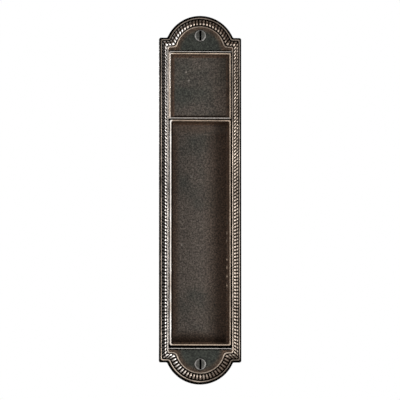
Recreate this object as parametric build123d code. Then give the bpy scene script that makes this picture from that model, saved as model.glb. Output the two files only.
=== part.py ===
"""Pocket door pull: an arched bronze faceplate with a rope border, a finger tray set in its window, and screws.

The pull is modelled lying face up on a bench: X across, Y along its length, Z from the door's face at zero
towards the room. Each finished piece is then stood upright, so that the room side faces -Y, +Z is up, the
door's face is the plane Y = 0 and the origin is half way between the two mounting screws. Millimetres.
"""
from build123d import *
import math
import os

# Plate outline: straight sides with square shoulders, and an arched dome at each end
plate_width = 63.5
plate_length = 285.0
dome_radius = 27.5
dome_rise = 17.0
corner_round = 1.4

# Heights: the flat fields above the door's face, and the border's steps from there
field_height = 5.0
lip_rise = 0.5
edge_drop = 1.2
channel_depth = 0.8
rope_flank_rise = 1.1
rope_crown = 0.8
bead_rise = 0.6

# Breadths across the border at the straight sides, from the outer edge inwards
lip_bevel = 1.2
lip_flat = 0.65
lip_fall = 0.35
rope_clear = 0.15
rope_foot = 0.35
rope_shoulder = 0.7
rope_crest = 1.3
bead_foot = 0.3
bead_flat = 0.5
bead_fall = 0.4

# The border is this many times broader round the domes than at the sides
dome_widening = 1.3

# Rope twist: slanted V grooves part the strands, and stop just above the channel
strand_pitch = 2.57
side_slant = 38.0
dome_slant = 15.0
groove_angle = 40.0
groove_floor = 0.25

# Shallow recess: a fine groove, a rim right round and sloped walls down to its floor, steeper at its foot
recess_below_dome = 0.5
recess_length = 51.85
quirk_width = 0.6
quirk_depth = 0.9
recess_rim = 1.1
recess_slope = 2.7
recess_foot_slope = 1.0
recess_depth = 2.0

# Window for the tray, and the narrow ledge left between it and the inner bead
window_ledge = 0.25
window_above_dome = 0.7

# Finger tray
tray_side_gap = 0.75
tray_top_gap = 0.75
tray_bottom_gap = 1.6
tray_rim = 1.4
tray_rim_round = 0.35
tray_depth = 12.0
tray_floor = 2.0
tray_draft = 2.0
tray_corner = 1.2
tray_cove = 1.0

# Flange round the tray, let into a rebate in the plate's back, which closes the gap from behind
flange_overlap = 1.5
flange_thickness = 1.5
flange_clear = 0.2

# Ears on the tray's ends and the bosses behind the plate that they are screwed to
boss_offset = 6.5
boss_radius = 4.5
boss_height = 3.0
boss_spread = 24.0
ear_thickness = 2.2

# Tray screws: slotted pan-head machine screws
tray_screw_radius = 2.0
tray_screw_length = 6.5
tray_screw_head_radius = 3.6
tray_screw_head_height = 2.2
tray_screw_head_round = 0.8
tray_screw_slot_width = 1.0
tray_screw_slot_depth = 1.1
tray_screw_hole_gap = 0.25
tapped_hole_gap = 0.05
tapped_hole_spare = 0.6

# Mounting screws: slotted oval-head wood screws, threaded from the door's face down
screw_inset = 15.5
screw_head_radius = 4.7
screw_head_angle = 82.0
screw_head_dome = 1.5
screw_neck_radius = 2.1
screw_thread_radius = 2.4
screw_thread_length = 22.0
screw_point_length = 5.0
screw_point_radius = 0.3
screw_slot_width = 1.4
screw_slot_depth = 1.0
screw_hole_gap = 0.3
countersink_gap = 0.1

# Levels and places that follow from the sizes above
lip_height = field_height + lip_rise
edge_height = lip_height - edge_drop
channel_height = field_height - channel_depth
rope_flank_height = channel_height + rope_flank_rise
rope_height = rope_flank_height + rope_crown
bead_height = field_height + bead_rise
side_length = plate_length - 2 * dome_rise
dome_centre = plate_length / 2 - dome_radius
recess_top = dome_centre - recess_below_dome
window_top = recess_top - recess_length
window_bottom = window_above_dome - dome_centre
screw_reach = plate_length / 2 - screw_inset
screw_places = [Pos(0, screw_reach), Pos(0, -screw_reach)]
boss_places = [
    Pos(side * boss_spread / 2, along)
    for side in (1, -1)
    for along in (window_top + boss_offset, window_bottom - boss_offset)
]


def stepped(inset, height, steps):
    """A section across the border as (inset, height) points, from a first point and (breadth, height) steps."""
    points = [(inset, height)]
    for breadth, level in steps:
        inset += breadth
        points.append((inset, level))
    return points


lip_section = stepped(
    0,
    edge_height,
    [(lip_bevel, lip_height), (lip_flat, lip_height), (lip_fall, channel_height)],
)
rope_section = stepped(
    lip_section[-1][0] + rope_clear,
    channel_height,
    [
        (rope_foot, rope_flank_height),
        (rope_shoulder, rope_height),
        (rope_crest, rope_height),
        (rope_shoulder, rope_flank_height),
        (rope_foot, channel_height),
    ],
)
bead_section = stepped(
    rope_section[-1][0] + rope_clear,
    channel_height,
    [(bead_foot, bead_height), (bead_flat, bead_height), (bead_fall, field_height)],
)
side_border = bead_section[-1][0]
rope_middle = (rope_section[0][0] + rope_section[-1][0]) / 2
rope_breadth = rope_section[-1][0] - rope_section[0][0]
window_half = plate_width / 2 - side_border - window_ledge


def outline(inset):
    """The plate's outline, drawn in from its edge; the inset is larger round the domes."""
    shape = Rectangle(plate_width - 2 * inset, side_length - 2 * inset)
    for end in (1, -1):
        shape += Pos(0, end * dome_centre) * Circle(dome_radius - inset * dome_widening)
    return fillet(shape.vertices(), corner_round)


def sloped_slab(low, high):
    """A slab with sloped edges between two outlines, each given as (inset, height)."""
    lower = Pos(0, 0, low[1]) * outline(low[0])
    upper = Pos(0, 0, high[1]) * outline(high[0])
    return loft([lower, upper], ruled=True)


def moulded(body, section):
    """Adds each rise of a border section to a body, and cuts each fall from it."""
    for start, end in zip(section, section[1:]):
        if end[1] > start[1]:
            body += sloped_slab(start, end)
        elif end[1] < start[1]:
            body -= sloped_slab(end, start)
    return body


def strand_groove():
    """One V groove along Y at the origin, long enough to cross the rope on a slant."""
    apex = channel_height + groove_floor
    top = rope_height + groove_floor
    half_width = (top - apex) * math.tan(math.radians(groove_angle / 2))
    half_length = rope_breadth * dome_widening / 2 / math.cos(math.radians(side_slant)) + half_width
    section = Plane.XZ * Polygon((0, apex), (half_width, top), (-half_width, top), align=None)
    return extrude(section, half_length, both=True)


def rope_path():
    """The middle line of the rope's right half, from one arched end to the other."""
    right_half = outline(rope_middle) & Pos(plate_width / 2, 0) * Rectangle(plate_width, plate_length)
    return Wire(right_half.edges().filter_by(lambda edge: edge.center().X > corner_round / 10))


def rope_ring():
    """The rope border, with its twist mirrored about the plate's long axis."""
    path = rope_path()
    groove = strand_groove()
    count = round(path.length / strand_pitch)
    grooves = []
    for index in range(count):
        share = (index + 0.5) / count
        place = path.position_at(share)
        along = path.tangent_at(share)
        slant = side_slant if abs(place.Y) < side_length / 2 - side_border else dome_slant
        turn = math.degrees(math.atan2(along.Y, along.X)) + slant
        grooves.append(Pos(place.X, place.Y) * Rot(0, 0, turn) * groove)
        grooves.append(Pos(-place.X, place.Y) * Rot(0, 0, -turn) * groove)
    return moulded(Part(), rope_section) - grooves


def box_between(left, right, low, high, bottom, top):
    """A block given by its six limits."""
    middle = Pos((left + right) / 2, (low + high) / 2, (bottom + top) / 2)
    return middle * Box(right - left, high - low, top - bottom)


def window_plan(margin):
    """The window's plan, drawn out by a margin."""
    plan = Rectangle(2 * (window_half + margin), window_top - window_bottom + 2 * margin)
    return Pos(0, (window_top + window_bottom) / 2) * plan


def recess_frame(inset, low):
    """The recess's plan from its low end up, drawn in at its sides and top."""
    half = window_half - inset
    high = recess_top - inset
    return Pos(0, (low + high) / 2) * Rectangle(2 * half, high - low)


def upper_recess():
    """What is cut away for the recess: the fine groove beside its rim, and the sunk panel."""
    groove_low = window_top - recess_rim
    groove = recess_frame(0, groove_low) - recess_frame(quirk_width, groove_low)
    groove = Pos(0, 0, field_height - quirk_depth) * extrude(groove, quirk_depth)
    mouth_inset = quirk_width + recess_rim
    mouth_low = window_top + recess_rim
    mouth = recess_frame(mouth_inset, mouth_low)
    floor = recess_frame(mouth_inset + recess_slope, mouth_low + recess_foot_slope)
    sections = [Pos(0, 0, field_height - recess_depth) * floor, Pos(0, 0, field_height) * mouth]
    return groove + loft(sections, ruled=True)


def head_cone(radius):
    """A countersunk head's cone, from a radius at the field's surface down to the screw's neck."""
    depth = (radius - screw_neck_radius) / math.tan(math.radians(screw_head_angle / 2))
    return Pos(0, 0, field_height - depth / 2) * Cone(screw_neck_radius, radius, depth)


def faceplate():
    """The cast plate with its border, window, recess, screw holes and the bosses behind it."""
    plate = extrude(outline(0), edge_height)
    plate = moulded(plate, lip_section)
    plate = moulded(plate, bead_section)
    plate -= extrude(window_plan(0), rope_height)
    plate -= extrude(window_plan(flange_overlap + flange_clear), flange_thickness)
    plate -= upper_recess()
    hole = Cylinder(screw_thread_radius + screw_hole_gap, 2 * field_height)
    hole += head_cone(screw_head_radius + countersink_gap)
    plate -= [place * hole for place in screw_places]
    boss = Pos(0, 0, -boss_height / 2) * Cylinder(boss_radius, boss_height)
    plate += [place * boss for place in boss_places]
    depth = tray_screw_length - ear_thickness + tapped_hole_spare
    tapped_hole = Pos(0, 0, depth / 2 - boss_height) * Cylinder(tray_screw_radius + tapped_hole_gap, depth)
    plate -= [place * tapped_hole for place in boss_places]
    return plate + rope_ring()


def tray_ear(place, inner_end):
    """A tongue from the tray's end wall to the round seat of one screw."""
    centre = place.position
    tongue = Box(2 * boss_radius, abs(centre.Y - inner_end), ear_thickness)
    ear = Pos(centre.X, (centre.Y + inner_end) / 2) * tongue
    ear += place * Cylinder(boss_radius, ear_thickness)
    ear -= place * Cylinder(tray_screw_radius + tray_screw_hole_gap, ear_thickness)
    return Pos(0, 0, -boss_height - ear_thickness / 2) * ear


def pull_tray():
    """The finger pan: a drafted pan with a narrow rim, a flange let into the plate's back, and ears behind it."""
    width = 2 * (window_half - tray_side_gap)
    low = window_bottom + tray_bottom_gap
    high = window_top - tray_top_gap
    middle = Pos(0, (low + high) / 2)
    outer = fillet(Rectangle(width, high - low).vertices(), tray_corner)
    pan = middle * Pos(0, 0, field_height) * extrude(outer, -tray_depth - tray_floor)
    pan += extrude(window_plan(flange_overlap), flange_thickness)
    for place in boss_places:
        pan += tray_ear(place, high - tray_rim if place.position.Y > 0 else low + tray_rim)
    mouth = Rectangle(width - 2 * tray_rim, high - low - 2 * tray_rim)
    mouth = fillet(mouth.vertices(), tray_corner)
    hollow = middle * Pos(0, 0, field_height) * extrude(mouth, -tray_depth, taper=tray_draft)
    hollow = fillet(hollow.faces().sort_by(Axis.Z)[0].edges(), tray_cove)
    pan -= hollow
    return fillet(pan.faces().sort_by(Axis.Z)[-1].edges(), tray_rim_round)


def slot_cut(width, length, bottom, top):
    """A screwdriver slot, along the plate's length."""
    return box_between(-width / 2, width / 2, -length, length, bottom, top)


def mounting_screw():
    """A slotted oval-head wood screw seated in the plate; its thread is left plain."""
    ball_radius = (screw_head_radius**2 + screw_head_dome**2) / (2 * screw_head_dome)
    top = field_height + screw_head_dome
    dome = Pos(0, 0, top - ball_radius) * Sphere(ball_radius)
    dome &= Pos(0, 0, field_height + screw_head_dome / 2) * Cylinder(screw_head_radius, screw_head_dome)
    screw = dome + head_cone(screw_head_radius)
    screw += Pos(0, 0, field_height / 2) * Cylinder(screw_neck_radius, field_height)
    thread = screw_thread_length - screw_point_length
    screw += Pos(0, 0, -thread / 2) * Cylinder(screw_thread_radius, thread)
    point = Cone(screw_point_radius, screw_thread_radius, screw_point_length)
    screw += Pos(0, 0, -thread - screw_point_length / 2) * point
    return screw - slot_cut(screw_slot_width, screw_head_radius, top - screw_slot_depth, top)


def tray_screw():
    """A slotted pan-head screw driven from behind, through an ear into a boss."""
    seat = -boss_height - ear_thickness
    back = seat - tray_screw_head_height
    head = Cylinder(tray_screw_head_radius, tray_screw_head_height)
    head = fillet(head.edges().group_by(Axis.Z)[0], tray_screw_head_round)
    screw = Pos(0, 0, (seat + back) / 2) * head
    screw -= slot_cut(tray_screw_slot_width, tray_screw_head_radius, back, back + tray_screw_slot_depth)
    shank = Cylinder(tray_screw_radius, tray_screw_length)
    return screw + Pos(0, 0, seat + tray_screw_length / 2) * shank


def stand_up(shape):
    """Turns a piece from the bench to its place on an upright door."""
    return Rot(90, 0, 0) * shape


pieces = {
    "faceplate": faceplate(),
    "pull_tray": pull_tray(),
    "mounting_screws": Compound([place * mounting_screw() for place in screw_places]),
    "tray_screws": Compound([place * tray_screw() for place in boss_places]),
}

os.makedirs("parts", exist_ok=True)
for name, piece in pieces.items():
    export_step(stand_up(piece), f"parts/{name}.step")
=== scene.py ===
"""Dresses the pocket door pull: its cast rope border, finger tray, screws and finishes, on a plain stage.

Shapes are worked out in millimetres as (across, along, height): across the plate, along its length, and out
from the door's face towards the room. to_frame turns such a place to the shared frame, in metres.
"""
from functools import partial
from math import asin, atan2, cos, dist, exp, pi, radians, sin, sqrt, tan

import bmesh
import bpy
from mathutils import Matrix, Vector, geometry, noise


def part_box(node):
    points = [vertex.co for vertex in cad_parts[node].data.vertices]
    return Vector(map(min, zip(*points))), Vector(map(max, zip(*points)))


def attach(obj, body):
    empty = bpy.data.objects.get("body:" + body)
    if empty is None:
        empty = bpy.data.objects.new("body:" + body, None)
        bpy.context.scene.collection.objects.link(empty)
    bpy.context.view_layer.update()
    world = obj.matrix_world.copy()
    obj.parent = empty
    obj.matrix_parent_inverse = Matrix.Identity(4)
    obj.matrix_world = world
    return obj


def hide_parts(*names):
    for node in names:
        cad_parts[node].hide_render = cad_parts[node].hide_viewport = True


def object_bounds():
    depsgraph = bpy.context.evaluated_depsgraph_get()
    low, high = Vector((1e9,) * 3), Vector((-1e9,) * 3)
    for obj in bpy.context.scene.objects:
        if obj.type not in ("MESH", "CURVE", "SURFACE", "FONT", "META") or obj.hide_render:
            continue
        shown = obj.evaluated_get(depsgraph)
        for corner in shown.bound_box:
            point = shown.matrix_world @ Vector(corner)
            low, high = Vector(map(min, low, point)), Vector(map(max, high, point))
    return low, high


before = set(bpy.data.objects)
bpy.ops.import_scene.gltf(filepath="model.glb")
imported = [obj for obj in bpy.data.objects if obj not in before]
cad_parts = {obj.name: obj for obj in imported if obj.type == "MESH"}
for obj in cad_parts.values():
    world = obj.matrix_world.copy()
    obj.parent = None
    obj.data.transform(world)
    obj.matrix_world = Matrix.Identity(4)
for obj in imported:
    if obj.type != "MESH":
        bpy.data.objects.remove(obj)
cad_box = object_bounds()

METRE = 1000.0

# The reach of the plate, the tray and the screws, from the frame
plate_box = [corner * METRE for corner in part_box("faceplate")]
tray_box = [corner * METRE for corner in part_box("pull_tray")]
screw_box = [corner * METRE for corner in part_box("mounting_screws")]
plate_half = plate_box[1].x
plate_reach = plate_box[1].z
rope_height = -plate_box[0].y
boss_height = plate_box[1].y
tray_back = -tray_box[1].y
screw_tip = -screw_box[1].y

# Plate outline, and heights above the door's face; field is the height of the flat fields
dome_radius = 27.5
dome_rise = 17.0
corner_round = 1.4
dome_widening = 1.3
shoulder_widening = 1.1
hollow_widening = 0.3
field = 5.0
lip_height = 5.5
channel = 4.2
bead_height = 5.6
back_bevel = 0.25
edge_levels = (0, 1.2, 2.4)
cast_roughness = 0.05
cast_span = 5
shoulder = plate_reach - dome_rise
dome_centre = plate_reach - dome_radius

# Border, as insets from the plate's edge at the straight sides
lip_spring = 3.6
lip_crest = 1.65
lip_foot = 2.25
rope_outer = 2.35
rope_inner = 5.95
bead_foot = 6.05
bead_crest = 6.5
bead_edge = 7.1
field_edge_start = 7.22
rope_middle = (rope_outer + rope_inner) / 2
rope_rows = 15
round_rows = 6

# Rope: rounded strands on a slant, in shares of a strand over half the rope's breadth
strand_pitch = 2.57
stations_per_strand = 7
side_twist = 0.55
dome_twist = 0.25
strand_depth = 0.95
rope_fullness = 3.2
rope_dip = 0.2
rope_dip_share = -0.35
rope_dip_breadth = 0.25
strand_variation = 0.05

# Shallow recess in the upper part, and the window below it
recess_length = 51.85
recess_depth = 2.0
recess_top = dome_centre - 0.5
window_top = recess_top - recess_length
window_low = 0.7 - dome_centre
window_half = plate_half - bead_edge - 0.25
quirk_width = 0.6
quirk_depth = 0.9
recess_rim = 1.1
recess_slope = 2.7
recess_foot_slope = 1.0
recess_brow = 0.25
groove_points = 4
edge_round = 0.5
end_shares = (0, 0.06, 0.2, 0.45, 0.75)
ridge_width = 1.6
ridge_taper = 1.2
recess_across = 48
recess_along = 56
window_steps = 60
window_brow = 0.6

# Finger tray
tray_gap = 0.75
tray_foot_gap = 1.6
tray_half = window_half - tray_gap
tray_low = window_low + tray_foot_gap
tray_high = window_top - tray_gap
tray_rim = 1.4
tray_rim_round = 0.45
tray_depth = 12.0
tray_draft = 2.0
tray_corner = 1.2
tray_cove = 1.2
tray_floor = field - tray_depth
tray_brow = field - tray_rim_round
tray_bevel = 0.5
tray_back_levels = (-6.0, -3.8, 0)
tray_grid = 0.8
tray_side_steps = 150
tray_end_steps = 44
tray_corner_steps = 7
tray_rim_steps = 5
tray_wall_steps = 10
tray_cove_steps = 6
flange_overlap = 1.5
flange_depth = 1.5
flange_clear = 0.2
flange_corner = 0.3

# Bosses behind the plate, and the tray's ears that are screwed to them
boss_radius = 4.5
boss_bevel = 0.4
boss_hole_radius = 2.05
boss_hole_end = 1.9
boss_spread = 24.0
boss_offset = 6.5
ear_thickness = 2.2
ear_hole_radius = 2.25
ear_steps = 24
ear_hole_steps = 42
boss_places = [
    (side * boss_spread / 2, along)
    for side in (1, -1)
    for along in (window_top + boss_offset, window_low - boss_offset)
]

# Mounting screws
screw_inset = 15.5
screw_reach = plate_reach - screw_inset
head_radius = 4.7
head_angle = 82.0
head_dome = 1.5
neck_radius = 2.1
thread_reach = 2.4
root_radius = 1.7
thread_pitch = 1.8
thread_flank = (0.06, 0.24)
thread_run_out = (-0.4, -1.6)
thread_steps = 150
point_length = 5.0
point_radius = 0.3
slot_width = 1.4
slot_depth = 1.0
hole_radius = 2.7
sink_radius = 4.8
head_steps = 16
circle_steps = 64

# Meshing: angles in degrees beyond which faces meet in a crease, and the gaps that are closed
crease_angle = 38
screw_crease_angle = 35
weld_gap = 0.002
sliver_gap = 0.001

# Marks on a surface: brightened by wear and by painted highlight, darkened by grime and by painted shade,
# browned by patina and by painted shade, and brightened to grey rather than to tan
SURFACE_MARKS = ("rub_and_highlight", "grime_and_shade", "brown", "grey")
PLAIN = (0.0, 0.0, 0.0, 0.0)
BLACK = (0.0, 1.0, 0.0, 0.0)
GRIMY = (0.0, 1.0, 0.3, 0.0)
window_dark = (0.0, 1.0, 0.2, 0.0)

# Small bright flecks in the two floors, as (across, along)
flecks = [(-11.1, 98.9), (-8.8, 92.0), (-6.1, 18.7), (-13.4, -34.2)]
fleck_radius = 0.8


def to_frame(place):
    """A place in millimetres as metres in the shared frame."""
    across, along, height = place
    return Vector((across, -height, along)) / METRE


def ramp(low, high, value):
    """Zero below low, one above high, with a smooth rise between."""
    share = min(1.0, max(0.0, (value - low) / (high - low)))
    return share * share * (3 - 2 * share)


def fade(low, high, value):
    """One below low, zero above high, with a smooth fall between."""
    return 1 - ramp(low, high, value)


def blend(first, second, share):
    """A number part of the way from one to another."""
    return first + (second - first) * share


def evenly(first, last, steps):
    """Evenly spaced numbers from first to last."""
    return [blend(first, last, step / steps) for step in range(steps + 1)]


def uneven(across, along, span, seed):
    """Smooth noise from about -1 to 1, with hills about a span wide."""
    return noise.noise(Vector((across / span, along / span, seed)))


def wear(across, along, seed):
    """How strongly a raised line is worn, which comes and goes."""
    return 0.8 + 0.4 * uneven(across, along, 24, seed) + 0.3 * uneven(across, along, 6, seed + 4)


def rim_rub_and_highlight(across, along):
    """How strongly a rim is brightened by wear and painted highlight: most on the tray's left."""
    left = fade(1 - tray_half, 3 - tray_half, across)
    dull = blend(0.36, 0.48, ramp(recess_top - 6, recess_top - 2, along))
    if along < window_top:
        dull = blend(dull, 0.42, ramp(tray_high - 4, tray_high - 1, along))
    dull = blend(0.55, dull, ramp(tray_low, tray_low + 4, along))
    bright = blend(1.0, 0.9, ramp(window_top - 1, window_top + 2, along))
    return blend(dull, bright, left) * (1 + 0.3 * uneven(across, along, 9, 2))


def rim_age(across, along, age):
    """A rim's age at a place: the brighter from wear and painted highlight, the whiter."""
    rub_and_highlight, darkening, brown_share, _ = age
    rub_and_highlight_here = rim_rub_and_highlight(across, along)
    return (rub_and_highlight * rub_and_highlight_here, darkening, brown_share, ramp(0.5, 1.2, rub_and_highlight_here))


def fleck(across, along):
    """One at the middle of a bright fleck, zero past its edge."""
    nearest = min(dist((across, along), spot) for spot in flecks)
    return fade(0.3, 1, nearest / fleck_radius)


class Shell:
    """Gathers one mesh's points and faces; each point carries its surface's age."""

    def __init__(self):
        self.mesh = bmesh.new()
        self.ages = [self.mesh.verts.layers.float.new(name) for name in SURFACE_MARKS]

    def point(self, place, age=PLAIN):
        vert = self.mesh.verts.new(to_frame(place))
        for layer, value in zip(self.ages, age):
            vert[layer] = value
        return vert

    def row(self, places, age=PLAIN):
        return [self.point(place, age) for place in places]

    def level(self, plan, height, age=PLAIN):
        """A row of plan places at one height."""
        return self.row([(*spot, height) for spot in plan], age)

    def band(self, first, second, closed=True):
        """Four-sided faces between two rows of as many points."""
        count = len(first)
        for index in range(count if closed else count - 1):
            after = (index + 1) % count
            self.mesh.faces.new((first[index], first[after], second[after], second[index]))

    def bands(self, rows):
        for first, second in zip(rows, rows[1:]):
            self.band(first, second)

    def strips(self, rows):
        for first, second in zip(rows, rows[1:]):
            self.band(first, second, closed=False)

    def fill(self, outer, holes=()):
        """A flat face inside a loop, or triangles between it and its holes."""
        if not holes:
            self.mesh.faces.new(outer)
            return
        loops = [outer, *holes]
        verts = [vert for loop in loops for vert in loop]
        flat = [[Vector((vert.co.x, vert.co.z, 0)) for vert in loop] for loop in loops]
        for corners in geometry.tessellate_polygon(flat):
            self.mesh.faces.new([verts[corner] for corner in corners])

    def finish(self, name, sharp_angle=crease_angle):
        """Welds the points, turns the faces outwards and returns the piece."""
        bmesh.ops.remove_doubles(self.mesh, verts=self.mesh.verts, dist=weld_gap / METRE)
        bmesh.ops.dissolve_degenerate(self.mesh, edges=self.mesh.edges, dist=sliver_gap / METRE)
        bmesh.ops.recalc_face_normals(self.mesh, faces=self.mesh.faces)
        data = bpy.data.meshes.new(name)
        self.mesh.to_mesh(data)
        self.mesh.free()
        piece = bpy.data.objects.new(name, data)
        bpy.context.scene.collection.objects.link(piece)
        shade(piece, sharp_angle)
        return piece


def shade(piece, sharp_angle):
    """Smooth shading, creased where faces meet beyond an angle."""
    piece.data.shade_smooth()
    piece.data.set_sharp_from_angle(angle=radians(sharp_angle))


def combine(piece, tool, operation):
    """Joins a second closed piece to a piece, or cuts it away."""
    modifier = piece.modifiers.new("combine", "BOOLEAN")
    modifier.object = tool
    modifier.operation = operation
    modifier.solver = "EXACT"
    result = piece.evaluated_get(bpy.context.evaluated_depsgraph_get())
    data = bpy.data.meshes.new_from_object(result)
    piece.modifiers.clear()
    piece.data = data
    bpy.data.objects.remove(tool)


def line(start, end):
    """A straight run: its length, and its places from 0 to 1."""
    first, last = Vector(start), Vector(end)
    return (last - first).length, lambda share: first.lerp(last, share)


def arc(centre, radius, start, end):
    """A circular run: its length, and its places from 0 to 1."""

    def place(share):
        angle = blend(start, end, share)
        return Vector(centre) + radius * Vector((cos(angle), sin(angle)))

    return abs(end - start) * radius, place


def circle(across, along, radius, steps=circle_steps):
    """Plan places round a circle."""
    angles = evenly(0, 2 * pi, steps)[:-1]
    return [(across + radius * cos(angle), along + radius * sin(angle)) for angle in angles]


def outline_quarter(inset):
    """The runs of the outline's upper right quarter at an inset."""
    half = plate_half - inset
    top = shoulder - inset * shoulder_widening
    radius = dome_radius - inset * dome_widening
    hollow_round = corner_round + inset * hollow_widening
    hollow_rise = top + hollow_round - dome_centre
    hollow = sqrt((radius + hollow_round) ** 2 - hollow_rise**2)
    turn = atan2(hollow_rise, hollow)
    right_angle = pi / 2
    return [
        line((half, 0), (half, top - corner_round)),
        arc((half - corner_round, top - corner_round), corner_round, 0, right_angle),
        line((half - corner_round, top), (hollow, top)),
        arc((hollow, top + hollow_round), hollow_round, -right_angle, turn - pi),
        arc((0, dome_centre), radius, turn, right_angle),
    ]


station_step = strand_pitch / stations_per_strand
run_steps = [max(4, round(length / station_step)) for length, _ in outline_quarter(rope_middle)]


def outline_half(inset):
    """Places along the outline's right half, from its lower tip up."""
    runs = outline_quarter(inset)
    quarter = [runs[0][1](0)]
    for (_, place), steps in zip(runs, run_steps):
        quarter += [place((step + 1) / steps) for step in range(steps)]
    lower = [Vector((spot.x, -spot.y)) for spot in reversed(quarter)]
    return lower + quarter[1:]


def outline_loop(inset):
    """Places round the outline: its right half and its mirror image."""
    half = outline_half(inset)
    return half + [Vector((-spot.x, spot.y)) for spot in reversed(half[1:-1])]


def mirrored_loop(values):
    """A right half's values, repeated on the mirrored left half."""
    return values + values[-2:0:-1]


def strand_phases():
    """Strands gone by at each station of the right half, and their twist."""
    half = outline_half(rope_middle)
    lengths = [0.0]
    for first, second in zip(half, half[1:]):
        lengths.append(lengths[-1] + (second - first).length)
    count = round(lengths[-1] / strand_pitch)
    phases = [count * length / lengths[-1] for length in lengths]
    twists = []
    for spot in half:
        arched = ramp(dome_centre - 8, dome_centre + 4, abs(spot.y))
        tip_twist = dome_twist * ramp(0, dome_radius / 2, spot.x)
        twists.append(blend(side_twist, tip_twist, arched))
    return phases, twists


def rope_section(phase, share, twist, dipped):
    """Rope height and nearness to a crest; share is -1 outside, 1 inside."""
    lean = blend(share, asin(share) * 2 / pi, 0.5)
    turned = phase + twist * lean
    off_crest = turned - round(turned)
    crest = sqrt(1 - strand_depth * (2 * off_crest) ** 2)
    varied = 1 + strand_variation * noise.noise(Vector((round(turned) * 3.7, 0, 1)))
    crown = sqrt(1 - abs(share) ** rope_fullness)
    dip = dipped * rope_dip * exp(-(((share - rope_dip_share) / rope_dip_breadth) ** 2))
    return (rope_height - channel) * crown * (1 - dip) * crest * varied, crest


def on_dome(spot):
    """Zero along the plate's straight sides, one past its shoulders."""
    return ramp(shoulder - 8, shoulder - 2, abs(spot.y))


def upper_right(spot):
    """One beside the recess on its right, zero elsewhere."""
    return ramp(10, 20, spot.x) * ramp(window_top - 4, window_top + 4, spot.y)


def side_rub_and_highlight(share, crest, left, arched):
    """How far a strand's ends are brightened by wear and painted highlight: on the left mostly the inner
    end.
    """
    inner_start = blend(blend(-0.02, 0.14, left), 0.1, arched)
    inner = ramp(inner_start, inner_start + blend(0.3, 0.2, left), share)
    inner *= fade(blend(0.68, 0.88, left), blend(0.88, 1.0, left), share)
    outer = fade(-0.5, -0.25, share + 0.12 * left) * ramp(-0.88, -0.68, share + 0.15 * left)
    # painted highlight on the right side's outer end; on the left that end stays dark as painted shade
    outer *= blend(blend(0.85, 0.1, left), 0.3, arched)
    rub_and_highlight = max(inner, outer) * ramp(blend(0.8, 0.76, left), blend(0.95, 0.9, left), crest)
    return rub_and_highlight * blend(1, blend(0.5, 0.6, left), arched)


def bar_rub_and_highlight(share, crest, across):
    """How far a strand of the lower dome is brightened by wear and painted highlight: a whole bar, more on
    the left.
    """
    bar = ramp(-0.85, -0.6, share) * fade(0.7, 0.92, share)
    bar *= ramp(0.9, 0.98, crest) * blend(0.48, 0.24, ramp(-2, 14, across))
    return bar * blend(0.45, 1, ramp(-0.5, 0.3, share))


def rope_age(share, crest, spot):
    """Strand crests brightened by wear and painted highlight; dirt between strands, and painted shade over
    the left side's outer half.
    """
    left = fade(-18, -4, spot.x)
    arched = on_dome(spot)
    rub_and_highlight = side_rub_and_highlight(share, crest, left, arched)
    if spot.y < 0:
        rub_and_highlight = blend(rub_and_highlight, bar_rub_and_highlight(share, crest, spot.x), arched)
    darkening = 1 - ramp(0.7, 0.92, crest) * fade(0.72, 0.9, abs(share))
    # painted shade: along the left side the rope's outer half, turned from the light, is darkened
    darkening = max(darkening, 0.8 * left * (1 - arched) * fade(0, 0.3, share))
    # painted highlight: brighter and whiter on the left; painted shade: dimmer beside the recess on the
    # right
    rub_and_highlight *= blend(1.35, 2.0, left) * blend(1, 0.75, upper_right(spot))
    rub_and_highlight *= blend(wear(spot.x, spot.y, 5), 0.95, 0.8 * left)
    return (rub_and_highlight, darkening, 0.8, blend(0.25, 0.9, left))


def quarter_round(foot, crown, rows):
    """(inset, height, share of the rise) points of a quarter ellipse."""
    points = []
    for angle in evenly(0, pi / 2, rows):
        inset = blend(foot[0], crown[0], 1 - cos(angle))
        points.append((inset, blend(foot[1], crown[1], sin(angle)), sin(angle)))
    return points


def moulding_rows(foot, crown, end):
    """(inset, height, share of the rise, past the crown) over a moulding."""
    rise = [(*point, False) for point in quarter_round(foot, crown, round_rows)]
    fall = [(*point, True) for point in quarter_round(end, crown, round_rows)]
    return rise + fall[-2::-1]


def left_side(spot):
    """One along the plate's straight left side, zero elsewhere."""
    beside = fade(5 - plate_half, 12 - plate_half, spot.x)
    return beside * fade(shoulder - 12, shoulder - 2, abs(spot.y))


def wall_age(spot):
    """The plate's edge is dark, and light grey along the left side as painted light."""
    light = left_side(spot)
    return (blend(0.1, 0.7, light), 0.6 * (1 - light), 0.3, 0.8)


def low_left(spot):
    """One on the lower dome's left half, zero elsewhere."""
    return fade(-6, 8, spot.x) if spot.y < 0 else 0


def lip_age(share, fallen, spot):
    """The lip is black but for its crest."""
    rub_and_highlight = ramp(0.92 if fallen else 0.96, 1.0, share)
    # painted highlight: the crest is brighter on the lower dome's left; it is dimmer along the left side and
    # beside the recess on the right
    dome_level = blend(0.45, 1.0, low_left(spot))
    side_level = blend(blend(0.85, 0.7, left_side(spot)), 0.55, upper_right(spot))
    return (blend(side_level, dome_level, on_dome(spot)) * rub_and_highlight, 1 - rub_and_highlight, 0.5, 0.25)


def bead_age(share, fallen, spot):
    """The bead is brightened along its crest by wear; on the left its inner flank too, as painted highlight.
    """
    flank = blend(ramp(0.1, 0.6, share), 0.35 + 0.5 * share, left_side(spot))
    crest = flank if fallen else ramp(0.93, 1.0, share)
    # painted highlight: whiter on the left; dimmer beside the recess on the right
    grey = blend(0.2, 0.8, left_side(spot))
    side_level = blend(blend(0.72, 0.85, left_side(spot)), 0.38, upper_right(spot))
    level = blend(side_level, 0.6 if spot.y < 0 else 0.4, on_dome(spot))
    return (crest * level, 0.9 * (1 - crest), 0.5, grey)


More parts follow.
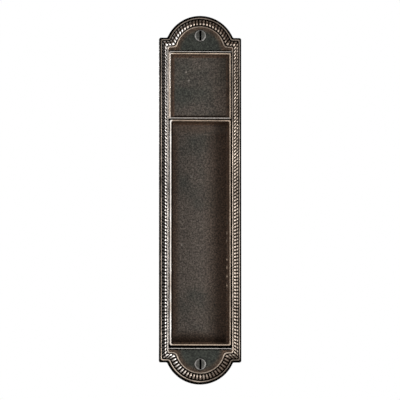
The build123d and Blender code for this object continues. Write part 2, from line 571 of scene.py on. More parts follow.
def cast_row(shell, inset, height, aged):
    """One row round the border, slightly uneven as a casting is."""
    row = []
    for spot in outline_loop(inset):
        rub_and_highlight, *others = aged(spot)
        rough = cast_roughness * uneven(spot.x, spot.y, cast_span, inset) if height > 0 else 0
        place = (spot.x, spot.y, height + rough)
        row.append(shell.point(place, (rub_and_highlight * wear(spot.x, spot.y, 1), *others)))
    return row


def rope_row(shell, share, phases, twists):
    """One row of the rope, right round the plate."""
    loop = outline_loop(rope_middle + share * (rope_inner - rope_outer) / 2)
    row = []
    for spot, phase, twist in zip(loop, mirrored_loop(phases), mirrored_loop(twists)):
        rise, crest = rope_section(phase, share, twist, 1 - on_dome(spot))
        row.append(shell.point((spot.x, spot.y, channel + rise), rope_age(share, crest, spot)))
    return row


def border(shell):
    """The edge, lip, rope and bead; returns the rows at the back and field."""
    phases, twists = strand_phases()
    rows = [shell.level(outline_loop(back_bevel), 0)]
    rows += [cast_row(shell, 0, height, wall_age) for height in edge_levels]
    lip = moulding_rows((0, lip_spring), (lip_crest, lip_height), (lip_foot, channel))
    for inset, height, share, fallen in lip:
        rows.append(cast_row(shell, inset, height, partial(lip_age, share, fallen)))
    for step in range(rope_rows):
        share = -cos(pi * step / (rope_rows - 1))
        rows.append(rope_row(shell, share, phases, twists))
    bead = moulding_rows((bead_foot, channel), (bead_crest, bead_height), (bead_edge, field))
    for inset, height, share, fallen in bead[:-1]:
        rows.append(cast_row(shell, inset, height, partial(bead_age, share, fallen)))
    rows.append(shell.level(outline_loop(bead_edge), field, (0.0, 0.3, 0.6, 0.0)))
    rows.append(shell.level(outline_loop(field_edge_start), field))
    shell.bands(rows)
    return rows[0], rows[-1]


def groove_section():
    """(inset, height, age) points over the groove to the rim's crown."""
    groove = field - quirk_depth
    crown = (quirk_width + recess_rim / 2, field)
    section = [
        (0, field, (0.4, 0.0, 0.2, 0.9)),
        (0.06, field - 0.12, (0.0, 0.8, 0.2, 0.5)),
        (0.1, groove, GRIMY),
        (quirk_width - 0.1, groove, GRIMY),
    ]
    for inset, height, share in quarter_round((quirk_width, groove), crown, round_rows):
        rub_and_highlight = 1.3 * ramp(0.85, 1, share)
        section.append((inset, height, (rub_and_highlight, fade(0.6, 1, share), 0.5, 0.3)))
    return section


def flank_rub_and_highlight(share_of_rim, age):
    """The recess rim's outer flank on the left, brightened further down by painted highlight and wear."""
    bright = 1 - 0.75 * ramp(0.55, 1, share_of_rim)
    return (2.0 * bright, 1 - bright, *age[2:])


def groove_age(index, side, age):
    """The groove's age on the left (-1), the top (0) or the right (1)."""
    if side < 0:
        up_rim = index - groove_points + 1
        return flank_rub_and_highlight(up_rim / (round_rows + 1), age) if up_rim >= 0 else (0.0, 0.9, 0.3, 0.0)
    rub_and_highlight, darkening, *others = age
    return (rub_and_highlight, 0.6 * darkening, *others) if side > 0 else age


def panel_section():
    """(inset, foot inset, height, age) points from the rim to the floor."""
    rim_end = quirk_width + recess_rim
    brow = field - recess_brow
    floor = field - recess_depth
    section = []
    crown = (quirk_width + recess_rim / 2, field)
    for inset, height, share in quarter_round((rim_end, brow), crown, 4)[-2::-1]:
        age = (1.3 * ramp(-0.4, 0.8, share), 0.2 * (1 - share), 0.6, 0.3)
        section.append((inset, inset - quirk_width, height, age))
    for share in (0.2, 0.4, 0.6, 0.8, 0.92):
        foot_inset = recess_rim + share * recess_foot_slope
        age = (0.0, blend(0.6, 0.1, share), 0.95, 0.0)
        section.append((rim_end + share * recess_slope, foot_inset, blend(brow, floor, share), age))
    section.append((rim_end + recess_slope, recess_rim + recess_foot_slope, floor, (0.0, 0.2, 0.5, 0.0)))
    return section


def over_stations(half):
    """Places across the recess between its corners."""
    return evenly(-half, half, recess_across)[1:-1]


def end_drop(along):
    """How far the rim rounds off towards the window."""
    gap = max(0.0, window_top + edge_round - along)
    return edge_round - sqrt(edge_round**2 - gap**2)


def arch_plan(half, ups, top):
    """Places up the recess's left side, along its top and down its right."""
    plan = [(-half, along) for along in ups]
    plan += [(across, top) for across in over_stations(half)]
    return plan + [(half, along) for along in reversed(ups)]


def recess_groove(shell):
    """The groove and the rim's outer half, round three sides."""
    rows = []
    for index, (inset, height, age) in enumerate(groove_section()):
        half = window_half - inset
        top = recess_top - inset
        ups = [window_top + edge_round * share for share in end_shares]
        ups += evenly(window_top + edge_round, top, recess_along)
        row = []
        for across, along in arch_plan(half, ups, top):
            aged = groove_age(index, (across == half) - (across == -half), age)
            if index >= groove_points:
                aged = rim_age(across, along, aged)
            drop = end_drop(along) if index > 0 else 0
            row.append(shell.point((across, along, height - drop), aged))
        rows.append(row)
    shell.strips(rows)
    return rows


def foot_rim(shell, crown):
    """The rim's outer half below the recess; returns its edge and crown."""
    count = len(end_shares) + 1
    lines = []
    for share, left, right in zip((*end_shares, 1), crown[:count], crown[: -count - 1 : -1]):
        along = window_top + edge_round * share
        plan = [(across, along) for across in over_stations(right.co.x * METRE)]
        age = (0.42 * ramp(0.15, 0.5, share), fade(0.1, 0.5, share), 0.2, 0.85)
        inner = shell.level(plan, field - end_drop(along), age)
        lines.append([left, *inner, right])
    shell.strips(lines)
    return lines[0], lines[-1]


def panel_loop(shell, inset, foot_inset, height, age):
    """A closed line of the recess: round three sides and back at its foot."""
    half = window_half - inset
    top = recess_top - inset
    low = window_top + foot_inset
    rub_and_highlight, darkening, brown_share, _ = age
    row = []
    for across, along in arch_plan(half, evenly(low, top, recess_along), top):
        # painted shade: the slopes and rim darken towards the right
        painted_shade = 0.35 * ramp(8, 20, across) * (1 - rub_and_highlight)
        rubbed_here = 0.05 * rub_and_highlight if across == -half else rub_and_highlight
        aged = (rubbed_here, blend(darkening, 1, painted_shade), brown_share, 0)
        row.append(shell.point((across, along, height), rim_age(across, along, aged)))
    # painted shade: the recess's foot slope, turned from the light, is dark
    dark_foot = (0.25 * rub_and_highlight, max(darkening, 0.8 * (1 - rub_and_highlight)), brown_share, 0.85)
    return row + shell.level([(across, low) for across in reversed(over_stations(half))], height, dark_foot)


def recess_floor_point(shell, place):
    """One point of the recess's floor, with painted shade towards the right."""
    rough = floor_roughness(place.x, place.z, (0.05, 9, 3), (0.025, 2.5, 7))
    painted_shade = ramp(2, 22, place.x)
    age = (0.5 * fleck(place.x, place.z), 0.42 * painted_shade, 0.3 * painted_shade, 0.5)
    return shell.point((place.x, place.z, -place.y + rough), age)


def recess_panel(shell, crown, foot_crown):
    """The rim's inner half, the slopes and the floor of the recess."""
    skipped = len(end_shares)
    rows = [crown[skipped : len(crown) - skipped] + foot_crown[-2:0:-1]]
    rows += [panel_loop(shell, *points) for points in panel_section()]
    shell.bands(rows)
    edge = rows[-1]
    side = recess_along + 1
    left = edge[:side]
    top = edge[side - 1 : side + recess_across]
    right = edge[side + recess_across - 1 : 2 * side + recess_across - 1][::-1]
    foot = [left[0], *edge[2 * side + recess_across - 1 :][::-1], right[0]]
    lines = [foot]
    for start, end in zip(left[1:-1], right[1:-1]):
        shares = evenly(0, 1, recess_across)[1:-1]
        inner = [recess_floor_point(shell, start.co.lerp(end.co, share) * METRE) for share in shares]
        lines.append([start, *inner, end])
    lines.append(top)
    shell.strips(lines)


def ridge_section():
    """(distance, rise, age) points over a bright ridge and its dark line."""
    bright = (0.85, 0.0, 0.0, 0.9)
    dark = (0.0, 1.0, 0.0, 0.9)
    return [
        (0.06, 0.16, bright),
        (0.18, 0.24, bright),
        (0.3, 0.2, bright),
        (0.4, 0.04, (0.3, 0.2, 0.0, 0.9)),
        (0.46, -0.08, dark),
        (1.15, -0.08, dark),
        (ridge_width, 0, PLAIN),
    ]


def ridge(shell, edge, outward):
    """A fine ridge along an edge of the field; returns its last line."""
    rows = [edge]
    half = edge[-1].co.x * METRE
    for distance, rise, age in ridge_section():
        row = []
        for vert in edge:
            across = vert.co.x * METRE
            taper = ramp(0, ridge_taper, half - abs(across))
            along = vert.co.z * METRE + outward * distance * taper
            row.append(shell.point((across, along, field + rise * taper), age))
        rows.append(row)
    shell.strips(rows)
    return rows[-1][1:-1]


def window_side(shell, side):
    """One long wall of the window, as rows from the ledge up."""
    plan = [(side * window_half, along) for along in evenly(window_low, window_top, window_steps)]
    levels = (flange_depth, field - window_brow, field)
    rows = [shell.level(plan, height, window_dark) for height in levels]
    shell.strips(rows)
    return rows


def window_head(shell, upper_edge):
    """The window's wall below the recess; returns its row at the ledge."""
    acrosses = [vert.co.x * METRE for vert in upper_edge]
    heights = [-vert.co.y * METRE for vert in upper_edge]
    ledge = shell.level([(across, window_top) for across in acrosses], flange_depth, window_dark)
    middles = [min(field - window_brow, height - window_brow / 2) for height in heights]
    places = [(across, window_top, middle) for across, middle in zip(acrosses, middles)]
    shell.strips([ledge, shell.row(places, window_dark), upper_edge])
    return ledge


def window_foot(shell):
    """The window's lower wall, rounded over, as rows from the ledge up."""
    acrosses = [-window_half, *over_stations(window_half), window_half]
    section = [(0, height, window_dark) for height in (flange_depth, field - window_brow)]
    spring = (0, field - edge_round)
    for inset, height, share in quarter_round(spring, (edge_round, field), round_rows):
        section.append((inset, height, (0.55 * ramp(0.93, 1, share), fade(0.85, 1, share), 0.0, 0.9)))
    rows = []
    for inset, height, age in section:
        rows.append(shell.level([(across, window_low - inset) for across in acrosses], height, age))
    shell.strips(rows)
    return rows


def window_walls(shell, upper_edge):
    """The window's walls; returns its loops at the ledge and the field."""
    left = window_side(shell, -1)
    right = window_side(shell, 1)
    head = window_head(shell, upper_edge)
    foot = window_foot(shell)
    for side, end in ((left, 0), (right, -1)):
        shell.mesh.faces.new([side[2][0], *[row[end] for row in foot[1:]]])
    ridge_line = ridge(shell, foot[-1], -1)
    ledge_loop = foot[0] + right[0][1:-1] + head[::-1] + left[0][-2:0:-1]
    foot_line = [foot[-1][-1], *ridge_line[::-1], foot[-1][0]]
    return ledge_loop, right[2][::-1] + foot_line + left[2]


def flange_rebate(shell, ledge_loop):
    """The rebate for the tray's flange; returns its loop at the back."""
    margin = flange_overlap + flange_clear
    half = window_half + margin
    plan = [(-half, window_low - margin), (half, window_low - margin)]
    plan += [(half, window_top + margin), (-half, window_top + margin)]
    rows = [shell.level(plan, height) for height in (flange_depth, 0)]
    shell.band(*rows)
    shell.fill(rows[0], [ledge_loop])
    return rows[1]


def screw_hole(shell, along):
    """A countersunk hole; returns its loops in the field and at the back."""
    depth = (sink_radius - hole_radius) / tan(radians(head_angle / 2))
    levels = [
        (sink_radius + 0.25, field, PLAIN),
        (sink_radius, field, (0.0, 0.9, 0.0, 0.0)),
        (hole_radius, field - depth, BLACK),
        (hole_radius, 0, (0.0, 0.3, 0.0, 0.0)),
    ]
    rows = [shell.level(circle(0, along, radius), height, age) for radius, height, age in levels]
    shell.bands(rows)
    return rows[0], rows[-1]


def boss(shell, across, along):
    """A boss with a blind hole; returns its loop at the plate's back."""
    levels = [
        (boss_radius, 0),
        (boss_radius, boss_bevel - boss_height),
        (boss_radius - boss_bevel, -boss_height),
        (boss_hole_radius, -boss_height),
        (boss_hole_radius, boss_hole_end),
    ]
    rows = [shell.level(circle(across, along, radius), height) for radius, height in levels]
    shell.bands(rows)
    shell.fill(rows[-1])
    return rows[0]


def cast_faceplate():
    """The whole plate as one closed mesh."""
    shell = Shell()
    back_edge, field_edge = border(shell)
    groove_rows = recess_groove(shell)
    crown = groove_rows[-1]
    foot_edge, foot_crown = foot_rim(shell, crown)
    recess_panel(shell, crown, foot_crown)
    lefts = [row[0] for row in groove_rows]
    rights = [row[-1] for row in reversed(groove_rows)]
    ledge_loop, window_front = window_walls(shell, lefts + foot_edge[1:-1] + rights)
    window_back = flange_rebate(shell, ledge_loop)
    holes = [screw_hole(shell, side * screw_reach) for side in (1, -1)]
    bosses = [boss(shell, across, along) for across, along in boss_places]
    side = len(end_shares) + recess_along + 1
    brow = groove_rows[0][side - 1 : side + recess_across]
    opening = groove_rows[0][:side] + ridge(shell, brow, 1) + groove_rows[0][-side:] + window_front[1:-1]
    shell.fill(field_edge, [opening] + [front for front, _ in holes])
    shell.fill(back_edge, [window_back] + [back for _, back in holes] + bosses)
    return shell.finish("cast_faceplate")


def tray_loop(inset):
    """Plan places round the tray at an inset."""
    return rounded_loop(tray_half - inset, tray_low + inset, tray_high - inset, tray_corner)


def rounded_loop(half, low, high, corner):
    """Plan places round a rectangle with rounded corners."""
    right_angle = pi / 2
    corners = [
        ((half - corner, low + corner), -right_angle),
        ((half - corner, high - corner), 0),
        ((corner - half, high - corner), right_angle),
        ((corner - half, low + corner), 2 * right_angle),
    ]
    places = []
    for index, (centre, start) in enumerate(corners):
        _, turn = arc(centre, corner, start, start + right_angle)
        after, after_start = corners[(index + 1) % 4]
        _, run = line(turn(1), arc(after, corner, after_start, after_start)[1](0))
        steps = tray_side_steps if index % 2 == 0 else tray_end_steps
        places += [turn(step / tray_corner_steps) for step in range(tray_corner_steps)]
        places += [run(step / steps) for step in range(steps)]
    return places


def tray_rim_rows():
    """(plan places, height, age) rows over the tray's rim."""
    rows = []
    crown = (tray_rim_round, field)
    for inset, height, share in quarter_round((0, tray_brow), crown, tray_rim_steps):
        rows.append((tray_loop(inset), height, (ramp(0.7, 1, share), fade(0.5, 1, share), 0.5, 0.3)))
    crown = (tray_rim - tray_rim_round, field)
    for inset, height, share in reversed(quarter_round((tray_rim, tray_brow), crown, tray_rim_steps)):
        age = (ramp(0.9, 1, share), 0.9 * fade(0.7, 0.97, share), 0.6, 0.3)
        rows.append((tray_loop(inset), height, age))
    return rows


def tray_wall_rows():
    """(plan places, height, age) rows down the tray's walls and cove."""
    slope = tan(radians(tray_draft))
    wall_end = tray_floor + tray_cove
    section = []
    for height in evenly(tray_brow, wall_end, tray_wall_steps)[1:]:
        section.append((tray_rim + (tray_brow - height) * slope, height))
    wall_foot = tray_rim + (tray_brow - wall_end) * slope
    for angle in evenly(0, pi / 2, tray_cove_steps)[1:]:
        inset = wall_foot + tray_cove * (1 - cos(angle))
        section.append((inset, wall_end - tray_cove * sin(angle)))
    return [(tray_loop(inset), height, (0.0, 0.1, 1.0, 0.0)) for inset, height in section]


def tray_section():
    """(plan places, height, age) rows from the tray's back to its floor."""
    rows = [(tray_loop(tray_bevel), tray_back, PLAIN), (tray_loop(0), tray_back + tray_bevel, PLAIN)]
    rows += [(tray_loop(0), height, PLAIN) for height in tray_back_levels]
    low, high = window_low - flange_overlap, window_top + flange_overlap
    flange = rounded_loop(window_half + flange_overlap, low, high, flange_corner)
    rows += [(flange, height, GRIMY) for height in (0, flange_depth)]
    rows += [(tray_loop(0), height, GRIMY) for height in (flange_depth, tray_brow - 0.4)]
    return rows + tray_rim_rows() + tray_wall_rows()


def wall_chips(across, along, height):
    """Ragged light patches, low on the tray's right wall."""
    right = ramp(tray_half - 4, tray_half - 2.5, across)
    lower = fade(10, 50, abs(along + 52))
    ragged = ramp(0.1, 0.45, uneven(along, 2 * height, 2.6, 8))
    return 0.35 * right * lower * ragged


def left_wall_shade(across):
    """Painted shade along the foot of the tray's left wall."""
    return fade(2.2, 4.0, across + tray_half)


def floor_roughness(across, along, broad, fine):
    """A cast floor's unevenness, from two (depth, span, seed)."""
    depths = [depth * uneven(across, along, span, seed) for depth, span, seed in (broad, fine)]
    return sum(depths)


def tray_pan():
    """The tray's pan as a closed mesh."""
    shell = Shell()
    rows = []
    for loop, height, age in tray_section():
        row = []
        for spot in loop:
            rub_and_highlight, *others = rim_age(spot.x, spot.y, age)
            chipped = wall_chips(spot.x, spot.y, height) if 0 > height > tray_floor else 0
            # painted shade on the walls: along the left wall's foot and over the right wall
            if 0 > height > tray_back + 1:
                others[0] = max(others[0], left_wall_shade(spot.x), 0.35 * ramp(12, 18, spot.x))
            row.append(shell.point((spot.x, spot.y, height), (max(rub_and_highlight, chipped), *others)))
        rows.append(row)
    shell.bands(rows)
    shell.fill(rows[0])
    tray_floor_grid(shell, rows[-1])
    return shell.finish("tray_pan")


def tray_floor_point(shell, spot, half, low, high):
    """One point of the tray's floor, with painted shade along its sides and foot, and painted light near its
    top.
    """
    inside = min(half - abs(spot.x), spot.y - low, high - spot.y)
    rough = floor_roughness(spot.x, spot.y, (0.07, 11, 2), (0.03, 3, 5)) * ramp(0, 4, inside)
    # painted shade cast by the right, left and lower walls
    painted_shade = fade(0, 1, min((half - spot.x) / 21, (half + spot.x) / 6, (spot.y - low) / 12))
    # painted shade at the foot; painted light, brighter and browner, near the top
    low_end_shade = fade(0, 11, spot.y - low)
    top_light = fade(2, 9, high - spot.y)
    rub_and_highlight = 0.5 * fleck(spot.x, spot.y) + 0.03 * top_light
    darkening = max(0.3 * painted_shade, 0.7 * low_end_shade, left_wall_shade(spot.x))
    age = (rub_and_highlight, darkening, max(0.8 * painted_shade, 0.6 * top_light), 0.5)
    return shell.point((spot.x, spot.y, tray_floor + rough), age)


def tray_floor_grid(shell, edge):
    """Fills the tray's floor with triangles on an uneven grid."""
    places = [Vector((vert.co.x, vert.co.z)) * METRE for vert in edge]
    count = len(places)
    margin = tray_grid * 0.7
    half = max(place.x for place in places) - margin
    low = min(place.y for place in places) + margin
    high = max(place.y for place in places) - margin
    alongs = evenly(low, high, round((high - low) / tray_grid))
    for across in evenly(-half, half, round(2 * half / tray_grid)):
        places += [Vector((across, along)) for along in alongs]
    rims = [(index, (index + 1) % count) for index in range(count)]
    spots, _, faces, origins, _, _ = geometry.delaunay_2d_cdt(places, rims, [], 1, 0.0001)
    verts = []
    for spot, sources in zip(spots, origins):
        on_edge = sources and sources[0] < count
        verts.append(edge[sources[0]] if on_edge else tray_floor_point(shell, spot, half, low, high))
    for corners in faces:
        shell.mesh.faces.new([verts[corner] for corner in corners])


def tray_ear(across, along):
    """A tongue from the tray's end wall to one tray screw's seat."""
    shell = Shell()
    outward = 1 if along > 0 else -1
    inner_end = tray_high - tray_rim if along > 0 else tray_low + tray_rim
    angles = evenly(0, outward * pi, ear_steps)
    plan = [(across + boss_radius * cos(angle), along + boss_radius * sin(angle)) for angle in angles]
    plan += [(across - boss_radius, inner_end), (across + boss_radius, inner_end)]
    levels = (-boss_height, -boss_height - ear_thickness)
    rows = [shell.level(plan, height) for height in levels]
    hole = [shell.level(circle(across, along, ear_hole_radius, ear_hole_steps), height) for height in levels]
    shell.bands(rows)
    shell.bands(hole)
    for loop, inner in zip(rows, hole):
        shell.fill(loop, [inner])
    return shell.finish("tray_ear")


def cast_tray():
    """The finger tray: its pan with four ears joined on."""
    pan = tray_pan()
    for across, along in boss_places:
        combine(pan, tray_ear(across, along), "UNION")
    pan.name = "cast_tray"
    shade(pan, crease_angle)
    return pan


def thread_radius(turns, height):
    """A wood screw's radius at a height, for an angle in turns."""
    off = (height / thread_pitch - turns) % 1.0 - 0.5
    crest = fade(*thread_flank, abs(off))
    up_point = min(1.0, (height - screw_tip) / point_length)
    major = blend(point_radius, thread_reach, up_point)
    root = min(major, root_radius)
    cut = ramp(*thread_run_out, height)
    return blend(blend(neck_radius, root, cut), blend(neck_radius, major, cut), crest)


def screw_thread(shell, along):
    """Rows of points from a wood screw's tip to its thread's end."""
    rows = []
    for height in evenly(screw_tip, 0, thread_steps):
        places = []
        for turns in evenly(0, 1, circle_steps)[:-1]:
            radius = thread_radius(turns, height)
            angle = 2 * pi * turns
            places.append((radius * cos(angle), along + radius * sin(angle), height))
        rows.append(shell.row(places))
    return rows


def screw_head(shell, along):
    """Rows of points over a screw's oval head, black at its edge."""
    ball = (head_radius**2 + head_dome**2) / (2 * head_dome)
    rows = []
    for step in range(head_steps):
        radius = head_radius * (1 - step / head_steps)
        rise = sqrt(ball**2 - radius**2) - (ball - head_dome)
        # painted highlight: a brighter ring near the head's edge
        rim = ramp(0.35, 0.15, step / head_steps) if step > 1 else 0
        age = (0.05 + 0.25 * rim, 1.0 if step == 0 else 0.0, 0.0, 1.0)
        rows.append(shell.level(circle(0, along, radius), field + rise, age))
    return rows


def screw_body(along):
    """A wood screw from its point to its head, before its slot is cut."""
    shell = Shell()
    cone_depth = (head_radius - neck_radius) / tan(radians(head_angle / 2))
    rows = screw_thread(shell, along)
    rows.append(shell.level(circle(0, along, neck_radius), field - cone_depth))
    rows += screw_head(shell, along)
    shell.bands(rows)
    shell.fill(rows[0])
    shell.fill(rows[-1])
    return shell.finish("screw", screw_crease_angle)


def slot_block(along):
    """The block that cuts a screw's slot."""
    shell = Shell()
    top = field + head_dome
    half = slot_width / 2
    reach = head_radius + 0.5
    plan = [(half, along - reach), (half, along + reach), (-half, along + reach), (-half, along - reach)]
    rows = [shell.level(plan, height, BLACK) for height in (top - slot_depth, top + 0.5)]
    shell.bands(rows)
    for row in rows:
        shell.fill(row)
    return shell.finish("slot")


def blacken_slot(screw):
    """Makes a screw's slot, edges included, black."""
    lowest = (field + head_dome - slot_depth - 0.05) / METRE
    reach = (slot_width / 2 + 0.1) / METRE
    layers = screw.data.attributes
    for vert in screw.data.vertices:
        if abs(vert.co.x) < reach and -vert.co.y > lowest:
            layers["rub_and_highlight"].data[vert.index].value = 0.0
            layers["grime_and_shade"].data[vert.index].value = 1.0


def wood_screws():
    """Both mounting screws, with upright slots, as one piece."""
    screws = []
    for side in (1, -1):
        screw = screw_body(side * screw_reach)
        combine(screw, slot_block(side * screw_reach), "DIFFERENCE")
        blacken_slot(screw)
        screws.append(screw)
    combine(screws[0], screws[1], "UNION")
    screws[0].name = "wood_screws"
    shade(screws[0], screw_crease_angle)
    return screws[0]


def srgb(red, green, blue):
    """A colour as seen on a screen, 0 to 255, as linear light."""
    return tuple((value / 255) ** 2.2 for value in (red, green, blue)) + (1.0,)


class Nodes:
    """Short calls that lay out the nodes of a material or of the world."""

    def __init__(self, owner, shader="Principled BSDF"):
        owner.use_nodes = True
        self.owner = owner
        self.tree = owner.node_tree
        self.shader = self.tree.nodes[shader]

    def feed(self, socket, value):
        if isinstance(value, bpy.types.NodeSocket):
            self.tree.links.new(value, socket)
        else:
            socket.default_value = value

    def set(self, name, value):
        self.feed(self.shader.inputs[name], value)

    def use(self, kind, output, inputs, **settings):
        """Adds a node, feeds its inputs and returns one of its outputs."""
        made = self.tree.nodes.new("ShaderNode" + kind)
        for name, value in settings.items():
            setattr(made, name, value)
        for socket, value in inputs.items():
            self.feed(made.inputs[socket], value)
        return made.outputs[output]

    def place(self):
        return self.use("TexCoord", "Object", {})

    def age(self, name):
        return self.use("Attribute", "Fac", {}, attribute_name=name)

    def noise(self, span, detail, roughness=0.55):
        """Noise between 0 and 1 with patches about a span of millimetres wide."""
        inputs = {"Vector": self.place(), "Scale": METRE / span, "Detail": detail, "Roughness": roughness}
        return self.use("TexNoise", "Fac", inputs)

    def spread(self, value, low, high, start=0.0, end=1.0):
        """Turns a range of values smoothly into another."""
        inputs = dict(enumerate((value, low, high, start, end)))
        return self.use("MapRange", "Result", inputs, interpolation_type="SMOOTHSTEP")

    def math(self, operation, first, second=0.0, clamp=False):
        return self.use("Math", "Value", {0: first, 1: second}, operation=operation, use_clamp=clamp)

    def mix(self, share, first, second, mode="MIX"):
        inputs = {"Factor": share, 6: first, 7: second}
        return self.use("Mix", 2, inputs, data_type="RGBA", blend_type=mode)

    def bump(self, height, distance, strength, under=None):
        inputs = {"Strength": strength, "Distance": distance / METRE, "Height": height}
        if under is not None:
            inputs["Normal"] = under
        return self.use("Bump", "Normal", inputs)


# Bronze colours
patina_green = srgb(61, 62, 57)
dome_green = srgb(56, 58, 53)
patina_brown = srgb(92, 84, 77)
patina_violet = srgb(80, 69, 67)
patina_and_shade_brown = srgb(84, 65, 52)
# near black, for dirt and for painted shade
grime_and_shade = srgb(10, 8, 6)
# bright metal, for worn edges and for painted highlights
bright_tan = srgb(226, 203, 180)
bright_grey = srgb(245, 240, 235)

# Brass colours
brass_light = srgb(150, 118, 66)
brass_dark = srgb(104, 80, 48)
brass_grime = srgb(60, 46, 30)

# The brown ring along the bead, as radii in the arched fields
ring_start = 13.5
ring_end = 18.5


def dome_shares(nodes):
    """Where the arched fields are, and the brown ring within them."""
    across, depth, along = [nodes.use("SeparateXYZ", axis, {"Vector": nodes.place()}) for axis in "XYZ"]
    beyond = nodes.math("SUBTRACT", nodes.math("ABSOLUTE", along), dome_centre / METRE)
    front = nodes.spread(depth, -0.003, -0.001, 1.0, 0.0)
    dome = nodes.math("MULTIPLY", nodes.spread(beyond, 0.0, 0.0004), front)
    arm = nodes.use("CombineXYZ", "Vector", {"X": across, "Z": beyond})
    reach = nodes.use("VectorMath", "Value", {0: arm}, operation="LENGTH")
    ring = nodes.spread(reach, ring_start / METRE, ring_end / METRE, 0.0, 0.75)
    return dome, nodes.math("MULTIPLY", dome, ring)


def patina(nodes, mottle, grain, brownness, with_domes):
    """The colour of a dark mottled patina, brown in its hollows partly as patina and partly as painted
    shade.
    """
    clouds = nodes.noise(30, 3)
    speckle = nodes.noise(1.4, 1)
    clouded = nodes.spread(clouds, 0.6 - 0.4 * brownness, 0.8 - 0.2 * brownness)
    colour = nodes.mix(clouded, patina_green, patina_brown)
    colour = nodes.mix(nodes.spread(mottle, 0.5, 0.75, 0.0, 0.3), colour, patina_violet)
    brown_mask = nodes.age("brown")
    if with_domes:
        dome, ring = dome_shares(nodes)
        colour = nodes.mix(dome, colour, dome_green)
        brown_mask = nodes.math("MAXIMUM", brown_mask, ring)
    colour = nodes.mix(brown_mask, colour, patina_and_shade_brown)
    for spots, dark, light in ((grain, 0.2, 1.8), (speckle, 0.5, 1.5)):
        colour = nodes.mix(1.0, colour, nodes.spread(spots, 0.3, 0.7, dark, light), "MULTIPLY")
    return colour


def bronze(name, brownness, with_domes=False):
    """Cast bronze under a dark patina; darkened by dirt and painted shade, brightened on worn edges and by
    painted highlights.
    """
    nodes = Nodes(bpy.data.materials.new(name))
    mottle = nodes.noise(6, 5, 0.6)
    grain = nodes.noise(0.8, 5, 0.8)
    darkening = nodes.age("grime_and_shade")
    colour = nodes.mix(darkening, patina(nodes, mottle, grain, brownness, with_domes), grime_and_shade)
    ragged = nodes.spread(grain, 0.25, 0.75, 0.55, 1.45)
    sparkle = nodes.spread(grain, 0.66, 0.8, 0.0, 0.25)
    rub_and_highlight = nodes.math("MAXIMUM", nodes.age("rub_and_highlight"), sparkle)
    rub_and_highlight = nodes.math("MULTIPLY", rub_and_highlight, ragged, True)
    metal = nodes.mix(nodes.age("grey"), bright_tan, bright_grey)
    nodes.set("Base Color", nodes.mix(rub_and_highlight, colour, metal))
    nodes.set("Metallic", nodes.spread(rub_and_highlight, 0.0, 0.8))
    nodes.set("Specular IOR Level", nodes.spread(darkening, 0.0, 1.0, 0.2, 0.0))
    rough = nodes.spread(mottle, 0.3, 0.7, 0.5, 0.66)
    nodes.set("Roughness", nodes.math("SUBTRACT", rough, nodes.math("MULTIPLY", rub_and_highlight, 0.28)))
    cast = nodes.bump(mottle, 0.12, 0.5)
    worn_smooth = nodes.spread(rub_and_highlight, 0.0, 0.8, 0.6, 0.1)
    nodes.set("Normal", nodes.bump(grain, 0.06, worn_smooth, cast))
    return nodes.owner


def dull_brass(name):
    """Plain machine-screw brass, dulled and slightly scratched."""
    nodes = Nodes(bpy.data.materials.new(name))
    clouds = nodes.noise(4, 4)
    grain = nodes.noise(0.5, 3)
    colour = nodes.mix(nodes.spread(clouds, 0.35, 0.7), brass_light, brass_dark)
    colour = nodes.mix(nodes.spread(grain, 0.3, 0.7, 0.0, 0.3), colour, brass_grime)
    nodes.set("Base Color", colour)
    nodes.set("Metallic", 1.0)
    nodes.set("Roughness", nodes.spread(clouds, 0.3, 0.7, 0.36, 0.52))
    nodes.set("Normal", nodes.bump(grain, 0.03, 0.5))
    return nodes.owner


def dress(piece, node, material):
    """Puts a piece in place of a solid and gives it its finish."""
    piece.data.materials.clear()
    piece.data.materials.append(material)
    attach(piece, "root")
    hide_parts(node)


dress(cast_faceplate(), "faceplate", bronze("plate_bronze", 0.6, with_domes=True))
dress(cast_tray(), "pull_tray", bronze("tray_bronze", 0.95))
dress(wood_screws(), "mounting_screws", bronze("screw_bronze", 0.0))
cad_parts["tray_screws"].data.materials.clear()
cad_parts["tray_screws"].data.materials.append(dull_brass("tray_screw_brass"))


# Stage, in metres
floor_drop = 0.5
floor_size = 16.0
floor_glow = 0.82
floor_shade = 0.55
camera_distance = 5.0
camera_yaw = radians(-3.5)
camera_pitch = radians(-4.2)
camera_aim = Vector((0.00006, 0.0, 0.0001))
photo_width = 400
photo_scale = 1295.8
sensor_width = 36.0
ambient_light = 0.1

# Lamps as (name, place, size, power)
lamps = [
    ("key", (0.7, -0.68, -0.14), 0.34, 5.5),
    ("fill", (-0.9, -0.5, 0.1), 0.4, 4.0),
    ("back", (-0.5, 0.9, 0.6), 0.8, 14.0),
]


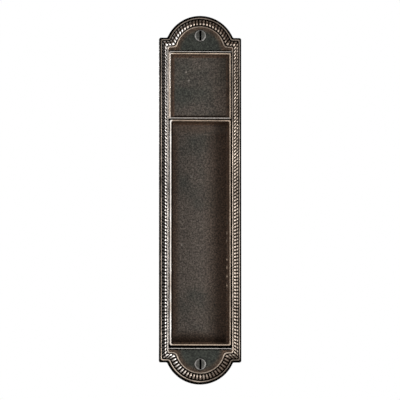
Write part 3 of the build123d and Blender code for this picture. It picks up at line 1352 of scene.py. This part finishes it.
def seen_level(nodes, unseen, seen):
    """A strength for the camera and glossy surfaces, and one for the rest."""
    rays = [nodes.use("LightPath", ray, {}) for ray in ("Is Camera Ray", "Is Glossy Ray")]
    looking = nodes.math("MAXIMUM", *rays)
    return nodes.use("MapRange", "Result", {"Value": looking, "To Min": unseen, "To Max": seen})


def surround():
    """White to the camera and glossy surfaces; lights the rest less."""
    world = bpy.data.worlds.new("surround")
    bpy.context.scene.world = world
    nodes = Nodes(world, "Background")
    nodes.set("Color", (1, 1, 1, 1))
    nodes.set("Strength", seen_level(nodes, ambient_light, 1.0))


def pale_floor():
    """A nearly white floor that throws no light on the pull."""
    bpy.ops.mesh.primitive_grid_add(x_subdivisions=2, y_subdivisions=2, size=floor_size)
    floor = bpy.context.object
    floor.name = "floor"
    floor.location = (0, 0, cad_box[0][2] - floor_drop)
    nodes = Nodes(bpy.data.materials.new("pale_floor"))
    nodes.set("Base Color", (floor_shade, floor_shade, floor_shade, 1))
    nodes.set("Roughness", 0.9)
    nodes.set("Emission Color", (1, 1, 1, 1))
    nodes.set("Emission Strength", seen_level(nodes, 0.0, floor_glow))
    floor.data.materials.append(nodes.owner)


def lamp(name, place, size, power):
    """A square soft light that points at the middle of the pull."""
    data = bpy.data.lights.new(name, "AREA")
    data.shape = "SQUARE"
    data.size = size
    data.energy = power
    light = bpy.data.objects.new(name, data)
    light.location = place
    light.rotation_euler = Vector(place).to_track_quat("Z", "Y").to_euler()
    bpy.context.scene.collection.objects.link(light)


def camera():
    """The photo's view: far off, from slightly left and below."""
    data = bpy.data.cameras.new("camera")
    data.sensor_width = sensor_width
    data.lens = sensor_width * camera_distance * photo_scale / photo_width
    view = bpy.data.objects.new("camera", data)
    level = cos(camera_pitch)
    back = Vector((sin(camera_yaw) * level, -cos(camera_yaw) * level, sin(camera_pitch)))
    view.location = camera_aim + back * camera_distance
    view.rotation_euler = back.to_track_quat("Z", "Y").to_euler()
    bpy.context.scene.collection.objects.link(view)
    bpy.context.scene.camera = view


surround()
pale_floor()
for settings in lamps:
    lamp(*settings)
camera()
bpy.context.scene.view_settings.view_transform = "Standard"
